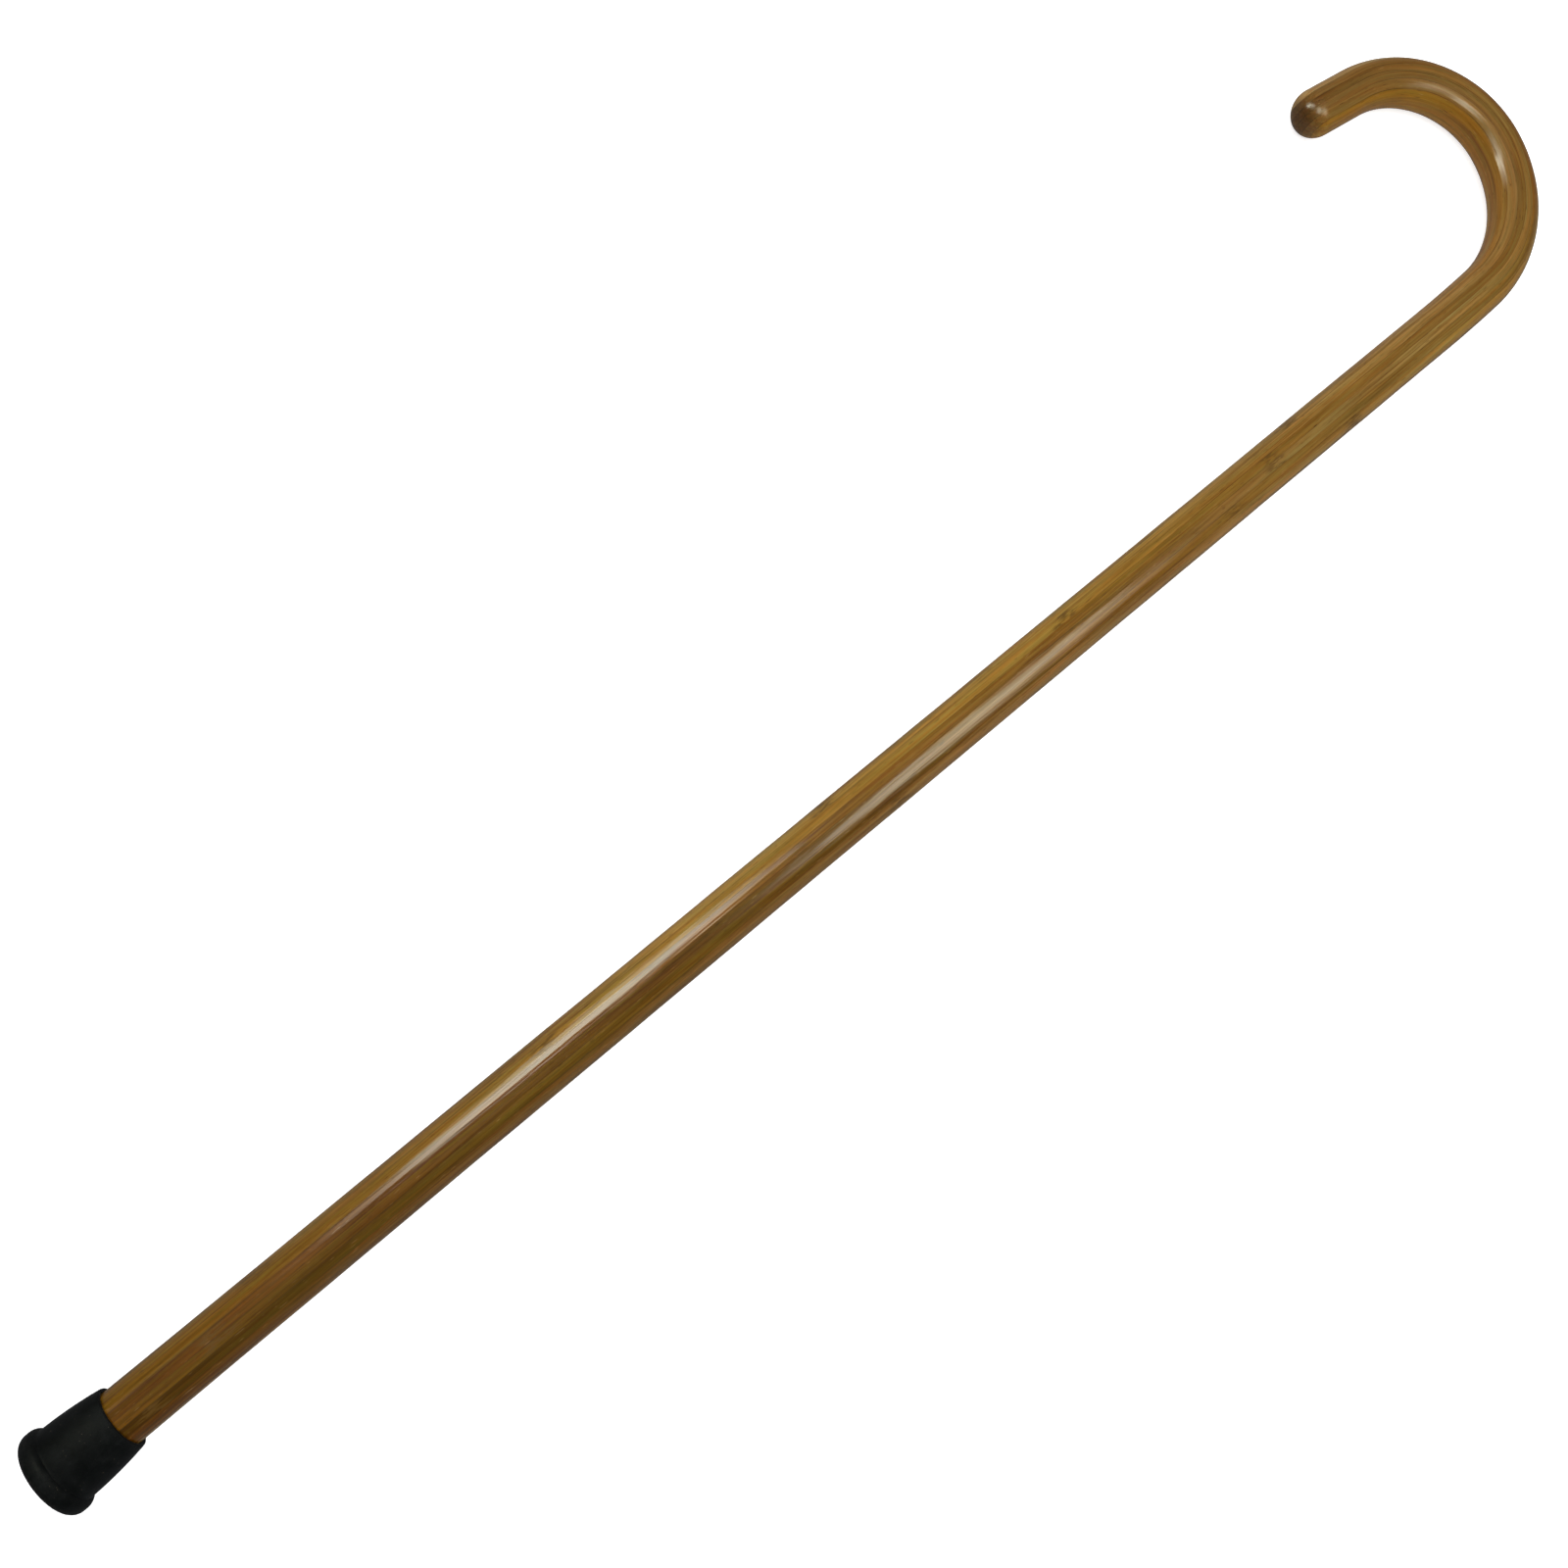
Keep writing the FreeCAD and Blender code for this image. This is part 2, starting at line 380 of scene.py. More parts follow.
def arc_by_three(first, middle, last):
    """Points of the arc through three points."""
    steps = COLLAR_STEPS
    (ax, ay), (bx, by), (cx, cy) = first, middle, last
    d = 2 * (ax * (by - cy) + bx * (cy - ay) + cx * (ay - by))
    aa, bb, cc = ax * ax + ay * ay, bx * bx + by * by, cx * cx + cy * cy
    x = (aa * (by - cy) + bb * (cy - ay) + cc * (ay - by)) / d
    y = (aa * (cx - bx) + bb * (ax - cx) + cc * (bx - ax)) / d
    radius = math.hypot(ax - x, ay - y)
    start = math.atan2(ay - y, ax - x)
    turn = math.atan2(cy - y, cx - x) - start
    turn = (turn + math.pi) % (2 * math.pi) - math.pi
    return [(x + radius * math.cos(start + turn * i / steps),
             y + radius * math.sin(start + turn * i / steps)) for i in range(steps + 1)]


def softened(corners, spacing, softness):
    """An open outline resampled evenly, its corners rounded by a running average."""
    corners = np.array(corners, float)
    legs = np.linalg.norm(np.diff(corners, axis=0), axis=1)
    apart = legs > 1 / WELDS_PER_MM
    corners = corners[np.concatenate([[True], apart])]
    travelled = np.concatenate([[0], np.cumsum(legs[apart])])
    at = np.linspace(0, travelled[-1], int(travelled[-1] / spacing) + 1)
    line = np.stack([np.interp(at, travelled, corners[:, i]) for i in (0, 1)], 1)
    for _ in range(softness):
        line[1:-1] = (line[:-2] + 2 * line[1:-1] + line[2:]) / 4
    return line


def thinned(line, longest, sharpest_degrees):
    """Keeps the outline's points where it turns, and one now and then where it doesn't."""
    step = np.diff(line, axis=0)
    direction = np.unwrap(np.arctan2(step[:, 1], step[:, 0]))
    kept, since = [0], 0.0
    for i in range(1, len(line) - 1):
        since += np.linalg.norm(step[i - 1])
        bend = abs(direction[i] - direction[kept[-1]])
        if since > longest(line[i]) or bend > math.radians(sharpest_degrees):
            kept.append(i)
            since = 0.0
    return line[kept + [len(line) - 1]]


def turned(name, outline, segments, material, displace=None, closed=False):
    """A mesh turned about the shaft's axis from an outline of (height, radius)."""
    outline = np.asarray(outline, float)
    angle = np.arange(segments) * 2 * math.pi / segments
    height = np.repeat(outline[:, 0][:, None], segments, 1)
    radius = np.repeat(outline[:, 1][:, None], segments, 1)
    around = np.repeat(angle[None, :], len(outline), 0)
    if displace:
        height, radius = displace(height, radius, around)
    points = np.stack([height, -radius * np.cos(around), radius * np.sin(around)], -1)
    rows = len(outline)
    ids = np.arange(rows * segments).reshape(rows, segments)
    next_ids = np.roll(ids, -1, axis=1)
    pairs = list(zip(range(rows - 1), range(1, rows)))
    if closed:
        pairs.append((rows - 1, 0))
    faces = []
    for a, b in pairs:
        faces += np.stack([ids[a], next_ids[a], next_ids[b], ids[b]], 1).tolist()
    points = points.reshape(-1, 3)
    kept, faces, _ = weld(points, faces, [name] * len(faces))
    piece = new_piece(name, points[kept], faces, material)
    piece.data.polygons.foreach_set("use_smooth", [True] * len(faces))
    add_point_vector(piece.data, "turned_place", points[kept] * MM)
    return piece


def ferrule_outline():
    """From the centre of the ground face, out and up over the collar, and down the bore."""
    shoulder = (FLANGE_SIDE_TOP, FLANGE_RADIUS - SHOULDER_ROUND)
    drop = COLLAR_FOOT_RADIUS - shoulder[1]
    rise = math.sqrt(SHOULDER_ROUND**2 - drop**2)
    collar_foot = (FLANGE_SIDE_TOP + rise, COLLAR_FOOT_RADIUS)
    corners = [
        (0, 0), (0, DISC_RADIUS - RING_EDGE), (RING_EDGE, DISC_RADIUS),
        (INNER_GROOVE[0], DISC_RADIUS), INNER_GROOVE,
        (CREST_EDGE, CREST_RADIUS - CREST_EDGE), (0, CREST_RADIUS),
        (0, RING_RADIUS - CREST_EDGE), (CREST_EDGE, RING_RADIUS),
        (OUTER_GROOVE_DEPTH, RING_RADIUS), (OUTER_GROOVE_DEPTH, GROUND_RING_RADIUS - RING_EDGE),
        (RING_EDGE, GROUND_RING_RADIUS), (0, GROUND_RING_RADIUS + RING_EDGE),
    ]
    flange_centre = (FLANGE_ROUND, FLANGE_RADIUS - FLANGE_ROUND)
    corners += arc_points(flange_centre, FLANGE_ROUND, 180, 90)
    corners += arc_points(shoulder, SHOULDER_ROUND, 90, math.degrees(math.atan2(drop, rise)))
    corners += arc_by_three(collar_foot, COLLAR_MIDDLE, COLLAR_TOP)
    lip = (FERRULE_HEIGHT - MOUTH_LIP, COLLAR_TOP[1] - MOUTH_LIP)
    corners += arc_points(lip, MOUTH_LIP, 90, 0)
    corners += [
        (FERRULE_HEIGHT, BORE_RADIUS + MOUTH_BEVEL), (FERRULE_HEIGHT - MOUTH_BEVEL, BORE_RADIUS),
        (FOOT_HEIGHT, BORE_RADIUS), (FOOT_HEIGHT, POCKET_RADIUS), (WASHER_SEAT, POCKET_RADIUS),
        (WASHER_SEAT, 0),
    ]

    def longest(point):
        on_disc = point[0] < DISC_FACE_HEIGHT and point[1] < DISC_RADIUS + RING_EDGE
        return LONGEST_LEG_ON_DISC if on_disc else LONGEST_LEG

    line = softened(corners, OUTLINE_SPACING, softness=10)
    return thinned(line, longest, sharpest_degrees=6)


# What moulding leaves on the rubber: parting ridges, a ragged mouth, and small pits
PARTING_ANGLES = (math.radians(62), math.radians(242))
RIDGE_HALF_WIDTH = 0.35
RIDGE_HEIGHT = 0.16
RIDGE_FOOT, RIDGE_FOOT_RUN = 10.4, 3.0        # it rises out of the collar over this height
RIDGE_TOP, RIDGE_TOP_RUN = FERRULE_HEIGHT - 0.6, 1.5
COLLAR_WALL = 0.6                             # at least, outside the bore
RAGGED_DEPTH = 0.22
RAGGED_RUN = 1.4
# waves round the mouth: how many, phase, weight
RAGGED_WAVES = ((7, 0.3, 0.3), (17, 1.9, 0.25), (43, 4.4, 0.25), (89, 2.2, 0.2))
PITS_BELOW = 0.5                              # only the ground face is pitted
# pits in the centre disc: two distances from its centre, radius, depth
DISC_PITS = ((1.5, 0.9, 0.32, 0.16), (-0.4, -1.6, 0.26, 0.12), (2.6, -1.1, 0.22, 0.1))


def bump_of(distance, half_width):
    """Smooth hump from 1 at distance 0 to 0 at half_width."""
    share = np.clip(1 - np.abs(distance) / half_width, 0, 1)
    return share * share * (3 - 2 * share)


def rubber_moulding(height, radius, around):
    """Parting ridges on the collar, a ragged mouth edge and pits in the centre disc."""
    collar = np.clip((height - RIDGE_FOOT) / RIDGE_FOOT_RUN, 0, 1)
    collar = collar * np.clip((RIDGE_TOP - height) / RIDGE_TOP_RUN, 0, 1)
    outside = radius > BORE_RADIUS + COLLAR_WALL
    for place in PARTING_ANGLES:
        apart = np.angle(np.exp(1j * (around - place))) * radius
        radius = radius + RIDGE_HEIGHT * bump_of(apart, RIDGE_HALF_WIDTH) * collar * outside
    ragged = np.zeros_like(around)
    for waves, phase, weight in RAGGED_WAVES:
        ragged += weight * (1 + np.sin(waves * around + phase)) / 2
    mouth = np.clip((height - FERRULE_HEIGHT + RAGGED_RUN) / RAGGED_RUN, 0, 1) ** 2
    height = height - RAGGED_DEPTH * ragged * mouth
    y, z = -radius * np.cos(around), radius * np.sin(around)
    for across, up, size, depth in DISC_PITS:
        from_pit = np.hypot(y - across, z - up)
        height = height + depth * bump_of(from_pit, size) * (height < PITS_BELOW)
    return height, radius


def rubber_ferrule(material):
    """The push-on tip, standing for its CAD node."""
    outline = ferrule_outline()
    piece = turned("ferrule_rubber", outline, FERRULE_SEGMENTS, material, rubber_moulding)
    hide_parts("rubber_ferrule")
    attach(piece, "ferrule")


def steel_washer(material):
    """Stamped washer: its upper edges rolled over by the punch, its lower ones nearly sharp."""
    low, high = WASHER_SEAT, WASHER_SEAT + WASHER_THICKNESS
    roll, hole_draft, rim_break = 0.3, 0.05, 0.1
    corners = [(low, WASHER_HOLE_RADIUS + hole_draft), (high - roll, WASHER_HOLE_RADIUS)]
    corners += arc_points((high - roll, WASHER_HOLE_RADIUS + roll), roll, -90, 0)
    corners += arc_points((high - roll, WASHER_RADIUS - roll), roll, 0, 90)
    corners += [(low + rim_break, WASHER_RADIUS), (low, WASHER_RADIUS - rim_break)]
    line = softened(corners + corners[:1], spacing=0.06, softness=3)[:-1]
    outline = thinned(line, lambda point: 0.8, sharpest_degrees=8)
    piece = turned("ferrule_washer", outline, WASHER_SEGMENTS, material, closed=True)
    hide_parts("steel_washer")
    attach(piece, "ferrule")


# ======================= materials ===================================================

class Shader:
    """A node material, with short calls for the nodes that it needs."""

    def __init__(self, name):
        self.material = bpy.data.materials.new(name)
        self.material.use_nodes = True
        self.nodes = self.material.node_tree.nodes
        self.links = self.material.node_tree.links
        self.nodes.clear()
        self.surface = self.nodes.new("ShaderNodeBsdfPrincipled")
        output = self.nodes.new("ShaderNodeOutputMaterial")
        self.links.new(self.surface.outputs["BSDF"], output.inputs["Surface"])

    def put(self, socket, value):
        """Links a socket to another, or gives it a value."""
        if isinstance(value, bpy.types.NodeSocket):
            self.links.new(value, socket)
        else:
            socket.default_value = value

    def attribute(self, name, output):
        node = self.nodes.new("ShaderNodeAttribute")
        node.attribute_name = name
        return node.outputs[output]

    def split(self, vector):
        node = self.nodes.new("ShaderNodeSeparateXYZ")
        self.put(node.inputs[0], vector)
        return node.outputs

    def math(self, operation, a, b=0.0, c=0.0):
        node = self.nodes.new("ShaderNodeMath")
        node.operation = operation
        for socket, value in zip(node.inputs, (a, b, c)):
            self.put(socket, value)
        return node.outputs[0]

    def stretched(self, vector, sizes, shift=(0.0, 0.0, 0.0)):
        """The vector measured in sizes, which are in metres, and moved along by shift."""
        node = self.nodes.new("ShaderNodeVectorMath")
        node.operation = "MULTIPLY_ADD"
        self.put(node.inputs[0], vector)
        self.put(node.inputs[1], tuple(1 / size for size in sizes))
        self.put(node.inputs[2], shift)
        return node.outputs[0]

    def noise(self, vector, detail=2.0, roughness=0.5):
        node = self.nodes.new("ShaderNodeTexNoise")
        self.put(node.inputs["Vector"], vector)
        self.put(node.inputs["Scale"], 1.0)
        self.put(node.inputs["Detail"], detail)
        self.put(node.inputs["Roughness"], roughness)
        return node.outputs["Fac"]

    def cells(self, vector, output="Distance"):
        node = self.nodes.new("ShaderNodeTexVoronoi")
        self.put(node.inputs["Vector"], vector)
        self.put(node.inputs["Scale"], 1.0)
        return node.outputs[output]

    def centred(self, noise):
        """A noise measured from its middle, so that it goes both ways."""
        return self.math("SUBTRACT", noise, 0.5)

    def between(self, value, low, high, to_low=0.0, to_high=1.0):
        """Smooth step of a value from one range to another."""
        node = self.nodes.new("ShaderNodeMapRange")
        node.interpolation_type = "SMOOTHSTEP"
        names = ("Value", "From Min", "From Max", "To Min", "To Max")
        for name, number in zip(names, (value, low, high, to_low, to_high)):
            self.put(node.inputs[name], number)
        return node.outputs["Result"]

    def ramp(self, value, stops):
        """Colours along a value, as (place, colour) pairs."""
        node = self.nodes.new("ShaderNodeValToRGB")
        self.put(node.inputs[0], value)
        elements = node.color_ramp.elements
        for place, colour in stops[2:]:
            elements.new(place)
        for element, (place, colour) in zip(elements, stops):
            element.position = place
            element.color = (*colour, 1.0)
        return node.outputs["Color"]

    def mix(self, share, a, b, blend="MIX"):
        node = self.nodes.new("ShaderNodeMix")
        node.data_type = "RGBA"
        node.blend_type = blend
        self.put(node.inputs[0], share)
        for socket, value in ((node.inputs[6], a), (node.inputs[7], b)):
            if isinstance(value, tuple):
                value = (*value, 1.0)
            self.put(socket, value)
        return node.outputs[2]

    def bump(self, height, distance, strength):
        node = self.nodes.new("ShaderNodeBump")
        self.put(node.inputs["Strength"], strength)
        self.put(node.inputs["Distance"], distance)
        self.put(node.inputs["Height"], height)
        return node.outputs["Normal"]

    def finish(self, **values):
        """Sets the surface's sockets, named in words with underscores."""
        for name, value in values.items():
            self.put(self.surface.inputs[name.replace("_", " ")], value)
        return self.material


def srgb(red, green, blue):
    """A colour given as it looks on a screen, 0 to 255, in linear light."""
    return tuple(
        c / 12.92 if c <= 0.04045 else ((c + 0.055) / 1.055) ** 2.4
        for c in (red / 255, green / 255, blue / 255)
    )


# All lengths in the materials are in metres. First, where one of the culm's joints lies
# along each strip, and how far apart they are
JOINT_PLACES = (0.215, 0.130, 0.345, 0.675, 0.378, 0.543, 0.400)
JOINT_SPACING = 0.298
# The pattern of the shaft gives way to that of the crook between these two distances
SHAFT_ENDS, CROOK_BEGINS = 0.78, 0.86

# Stains in the bamboo, in linear light
VESSEL_STAIN = (0.028, 0.013, 0.004)
DARK_FLECK = (0.035, 0.016, 0.005)
PALE_FLECK = (0.32, 0.19, 0.07)
JOINT_STAIN = (0.085, 0.043, 0.008)
PINHOLE_STAIN = (0.018, 0.008, 0.003)
GLUE_STAIN = (0.03, 0.014, 0.005)
END_GRAIN = (0.50, 0.46, 0.44)                # times the colour of the sides
FIBRE_RELIEF = 0.00003
VARNISH_RELIEF = 0.00004


def bamboo(name, tones, number, low, high, length):
    """Varnished, steamed bamboo. tones are its colours along the stick, from foot to tip."""
    shader = Shader(name)
    grain = shader.attribute("grain", "Vector")
    s, u = shader.split(grain)[:2]
    shift = (number * 7.31, number * 3.17, number * 5.71)

    def drawn(sizes):
        """The grain measured in three sizes: along the fibres, through the layers, and up."""
        return shader.stretched(grain, sizes, shift)

    def grained(sizes, detail=2.0, roughness=0.5):
        """Noise with features of about those sizes."""
        return shader.noise(drawn(sizes), detail, roughness)

    tone = shader.ramp(shader.math("DIVIDE", s, length * MM), tones)

    broad = grained((0.16, 0.005, 0.005))
    streak = grained((0.05, 0.0011, 0.0011), roughness=0.6)
    fibre = grained((0.018, 0.00028, 0.00028), roughness=0.6)
    fine = grained((0.004, 0.00012, 0.00012), detail=1.0)

    pattern = 0.0
    for noise, weight in ((broad, 1.3), (streak, 1.3), (fibre, 1.0), (fine, 0.35)):
        pattern = shader.math("MULTIPLY_ADD", shader.centred(noise), weight, pattern)
    # the crook, which is steamed and bent, is calmer than the shaft
    shaft_share = shader.between(s, CROOK_BEGINS, SHAFT_ENDS)
    calm = shader.math("MULTIPLY_ADD", shaft_share, 0.3, 0.7)
    pattern = shader.math("MULTIPLY", pattern, calm)
    shade = shader.ramp(shader.math("ADD", pattern, 0.5), (
        (0.0, (0.50, 0.40, 0.26)),
        (0.35, (0.84, 0.79, 0.68)),
        (0.6, (1.06, 1.07, 1.05)),
        (1.0, (1.35, 1.42, 1.55)),
    ))
    colour = shader.mix(1.0, tone, shade, "MULTIPLY")
    drift = shader.noise(shader.stretched(grain, (0.035, 0.0016, 0.0016), shift[::-1]))
    tint = shader.ramp(drift, (
        (0.34, (1.09, 0.96, 0.84)),
        (0.66, (0.93, 1.03, 1.04)),
    ))
    colour = shader.mix(1.0, colour, tint, "MULTIPLY")

    # thin dark vessels that run on for a long way
    vessel = shader.cells(drawn((0.42, 0.0013, 0.0013)))
    thin = shader.between(vessel, 0.10, 0.20, 1.0, 0.0)
    broken = shader.between(grained((0.06, 0.004, 0.004)), 0.42, 0.6, 0.0, 0.55)
    colour = shader.mix(shader.math("MULTIPLY", thin, broken), colour, VESSEL_STAIN)

    # short dark and pale flecks
    fleck = grained((0.006, 0.0005, 0.0005), detail=1.0)
    colour = shader.mix(shader.between(fleck, 0.66, 0.76, 0.0, 0.6), colour, DARK_FLECK)
    colour = shader.mix(shader.between(fleck, 0.30, 0.22, 0.0, 0.35), colour, PALE_FLECK)

    # the culm's joints: a mottled darker patch across the layer every so often
    along = shader.math("SUBTRACT", s, JOINT_PLACES[number - 1])
    wander = shader.centred(grained((0.02, 0.0016, 0.0016)))
    along = shader.math("MULTIPLY_ADD", wander, 0.022, along)
    to_joint = shader.math("PINGPONG", along, JOINT_SPACING / 2)
    band = shader.between(to_joint, 0.0015, 0.0090, 1.0, 0.0)
    mottle = shader.between(grained((0.0045, 0.0008, 0.0008)), 0.38, 0.56)
    fainter = shader.math("MULTIPLY_ADD", shaft_share, 0.65, 0.15)
    band = shader.math("MULTIPLY", band, fainter)
    colour = shader.mix(shader.math("MULTIPLY", band, mottle), colour, JOINT_STAIN)

    # a few pinholes and dark specks under the varnish
    spot = drawn((0.03, 0.006, 0.006))
    chosen = shader.between(shader.split(shader.cells(spot, "Color"))[0], 0.055, 0.05)
    dot = shader.between(shader.cells(spot), 0.03, 0.06, 0.8, 0.0)
    colour = shader.mix(shader.math("MULTIPLY", chosen, dot), colour, PINHOLE_STAIN)

    # glue lines at the layer's two faces, drawn thin and broken under the varnish
    from_low = shader.math("SUBTRACT", u, low * MM)
    from_high = shader.math("SUBTRACT", high * MM, u)
    nearest = shader.math("MINIMUM", from_low, from_high)
    glue = shader.between(nearest, 0.00004, 0.00022, 1.0, 0.0)
    patchy = shader.between(grained((0.03, 0.01, 0.01)), 0.35, 0.65, 0.15, 0.75)
    colour = shader.mix(shader.math("MULTIPLY", glue, patchy), colour, GLUE_STAIN)

    # end grain takes the stain darker and shows the cut bundles
    end_cut = shader.attribute("end_cut", "Fac")
    ragged = shader.math("MULTIPLY_ADD", shader.centred(fibre), 0.3, end_cut)
    end = shader.between(ragged, 0.28, 0.95)
    bundles = shader.cells(drawn((0.02, 0.0007, 0.0007)))
    dots = shader.between(bundles, 0.14, 0.34, 0.55, 1.0)
    end_colour = shader.mix(1.0, colour, END_GRAIN, "MULTIPLY")
    end_colour = shader.mix(1.0, end_colour, dots, "MULTIPLY")
    colour = shader.mix(end, colour, end_colour)

    roughness = shader.between(streak, 0.3, 0.7, 0.34, 0.5)
    relief = shader.math("MULTIPLY_ADD", fibre, 0.6, streak)
    normal = shader.bump(relief, FIBRE_RELIEF, 0.6)

    # brushed varnish, which pools smooth over the dome
    ripple = grained((0.03, 0.0021, 0.0021))
    brushed = grained((0.03, 0.0011, 0.0011), detail=1.0)
    varnish = shader.math("MULTIPLY_ADD", ripple, 3.0, shader.math("MULTIPLY", fibre, 0.2))
    varnish = shader.math("MULTIPLY_ADD", brushed, 3.4, varnish)
    pooled = shader.between(end_cut, 0.05, 0.5, 1.0, 0.3)
    varnish = shader.math("MULTIPLY", varnish, pooled)
    coat_normal = shader.bump(varnish, VARNISH_RELIEF, 0.9)
    return shader.finish(
        Base_Color=colour, Roughness=roughness, Specular_IOR_Level=0.03, Normal=normal,
        Coat_Weight=0.9, Coat_Roughness=0.19, Coat_IOR=1.5, Coat_Normal=coat_normal,
    )


DUST = (0.13, 0.10, 0.07)
SCUFF = (0.050, 0.043, 0.034)
RUBBER_RELIEF = 0.00008


def black_rubber():
    """Matt moulded rubber with specks of dust, scuffed where it meets the ground."""
    shader = Shader("black_rubber")
    place = shader.attribute("turned_place", "Vector")
    height = shader.split(place)[0]
    cloud = shader.noise(shader.stretched(place, (0.007, 0.007, 0.007)), 4.0, 0.6)
    fine = shader.noise(shader.stretched(place, (0.0006, 0.0006, 0.0006)), 3.0, 0.6)
    colour = shader.ramp(cloud, (
        (0.3, (0.0016, 0.0019, 0.0018)),
        (0.55, (0.0028, 0.0033, 0.0033)),
        (0.75, (0.0060, 0.0066, 0.0066)),
    ))
    dust = shader.cells(shader.stretched(place, (0.0017, 0.0017, 0.0017)))
    speck = shader.between(dust, 0.05, 0.10, 1.0, 0.0)
    some = shader.between(cloud, 0.45, 0.6, 0.0, 0.55)
    colour = shader.mix(shader.math("MULTIPLY", speck, some), colour, DUST)
    worn = shader.between(height, 0.0035, 0.0)
    rubbed = shader.noise(shader.stretched(place, (0.003, 0.0009, 0.0009)), 4.0)
    scuff = shader.between(rubbed, 0.4, 0.75, 0.0, 0.16)
    colour = shader.mix(shader.math("MULTIPLY", worn, scuff), colour, SCUFF)
    roughness = shader.between(cloud, 0.35, 0.7, 0.46, 0.66)
    relief = shader.math("MULTIPLY_ADD", cloud, 2.0, fine)
    normal = shader.bump(relief, RUBBER_RELIEF, 0.6)
    return shader.finish(
        Base_Color=colour, Roughness=roughness, Specular_IOR_Level=0.09, Normal=normal,
        Sheen_Weight=0.013, Sheen_Roughness=0.4, Sheen_Tint=(0.75, 0.87, 1.0, 1.0),
    )


RUBBED_RELIEF = 0.00002


def zinc_steel():
    """Bright zinc plate over stamped sheet, lightly blotched and rubbed."""
    shader = Shader("zinc_plated_steel")
    place = shader.attribute("turned_place", "Vector")
    spangle = shader.noise(shader.stretched(place, (0.002, 0.002, 0.002)), 3.0, 0.6)
    rub = shader.noise(shader.stretched(place, (0.004, 0.0004, 0.008)), 2.0)
    colour = shader.ramp(spangle, (
        (0.3, (0.42, 0.42, 0.41)),
        (0.7, (0.60, 0.61, 0.62)),
    ))
    roughness = shader.between(rub, 0.3, 0.7, 0.28, 0.5)
    normal = shader.bump(rub, RUBBED_RELIEF, 0.5)
    return shader.finish(Base_Color=colour, Metallic=1.0, Roughness=roughness, Normal=normal)


# Colours of each layer along the stick, as they look: foot, lower shaft, upper shaft,
# start of the crook, top of the crook, tip
# The first colour of each layer, at the foot, is darker partly by the bamboo's own tone and partly by
# painted shade where the light falls off towards the foot.
TONE_PLACES = (0.02, 0.26, 0.56, 0.76, 0.88, 0.99)
PALE = ((110, 84, 38), (114, 88, 40), (126, 98, 50), (126, 94, 46), (140, 110, 60), (142, 114, 64))
BROWN = ((74, 44, 3), (99, 70, 24), (123, 89, 42), (129, 98, 38), (126, 97, 46), (153, 121, 74))
UMBER = ((57, 36, 3), (88, 64, 16), (101, 68, 19), (121, 93, 43), (119, 79, 23), (107, 78, 38))
AMBER = ((83, 55, 3), (84, 57, 5), (100, 70, 24), (131, 103, 54), (120, 89, 42), (95, 66, 27))
UMBER_FLECKED = ((76, 46, 2), (94, 57, 5), (115, 83, 26), (107, 77, 32), (109, 80, 33), (102, 73, 33))
GOLD = ((90, 61, 5), (125, 93, 35), (131, 98, 39), (131, 100, 53), (112, 82, 38), (118, 87, 41))
HONEY = ((97, 66, 5), (135, 102, 41), (139, 105, 39), (139, 105, 58), (117, 80, 21), (131, 94, 30))
LAYERS = (
    ("bamboo_pale", PALE),
    ("bamboo_golden", BROWN),
    ("bamboo_dark", UMBER),
    ("bamboo_orange", AMBER),
    ("bamboo_dark", UMBER_FLECKED),
    ("bamboo_light", GOLD),
    ("bamboo_golden", HONEY),
)


def bamboo_stick():
    """The seven layers, from the outside of the bend to its inside."""
    line = Centreline()
    length = float(line.distance[-1] + STOCK_RADIUS)
    glue_lines = [OUTER_GLUE_LINE - i * STRIP_THICKNESS for i in range(GLUE_LINE_COUNT)]
    limits = [STOCK_RADIUS] + glue_lines + [-STOCK_RADIUS]
    # there is no glue on the stock's own surface, so its two lines are drawn clear of it
    glued = [STOCK_RADIUS + 1] + glue_lines + [-STOCK_RADIUS - 1]
    for number, (slot, looks) in enumerate(LAYERS, 1):
        high, low = limits[number - 1], limits[number]
        tones = [(place, srgb(*colour)) for place, colour in zip(TONE_PLACES, looks)]
        glue_high, glue_low = glued[number - 1], glued[number]
        material = bamboo(f"bamboo_{number}", tones, number, glue_low, glue_high, length)
        piece = bamboo_strip(number, line, low, high, material)


# ======================= floor, light and camera =====================================

FLOOR_HALF_WIDTH = 14.0


def pale_floor():
    reach = FLOOR_HALF_WIDTH
    mesh = bpy.data.meshes.new("floor")
    corners = [(-reach, -reach, 0), (reach, -reach, 0), (reach, reach, 0), (-reach, reach, 0)]
    mesh.from_pydata(corners, [], [(0, 1, 2, 3)])
    shader = Shader("pale_floor")
    # it glows a little, more so farther out where less of the overhead light falls
    place = shader.nodes.new("ShaderNodeTexCoord").outputs["Object"]
    distance = shader.nodes.new("ShaderNodeVectorMath")
    distance.operation = "LENGTH"
    shader.put(distance.inputs[0], place)
    glow = shader.between(distance.outputs["Value"], 0.8, 3.5, 0.75, 1.0)
    mesh.materials.append(shader.finish(
        Base_Color=(0.7, 0.7, 0.7, 1.0), Roughness=0.9, Specular_IOR_Level=0.1,
        Emission_Color=(1.0, 1.0, 1.0, 1.0), Emission_Strength=glow))
    floor = bpy.data.objects.new("floor", mesh)
    bpy.context.scene.collection.objects.link(floor)
    floor.visible_glossy = False


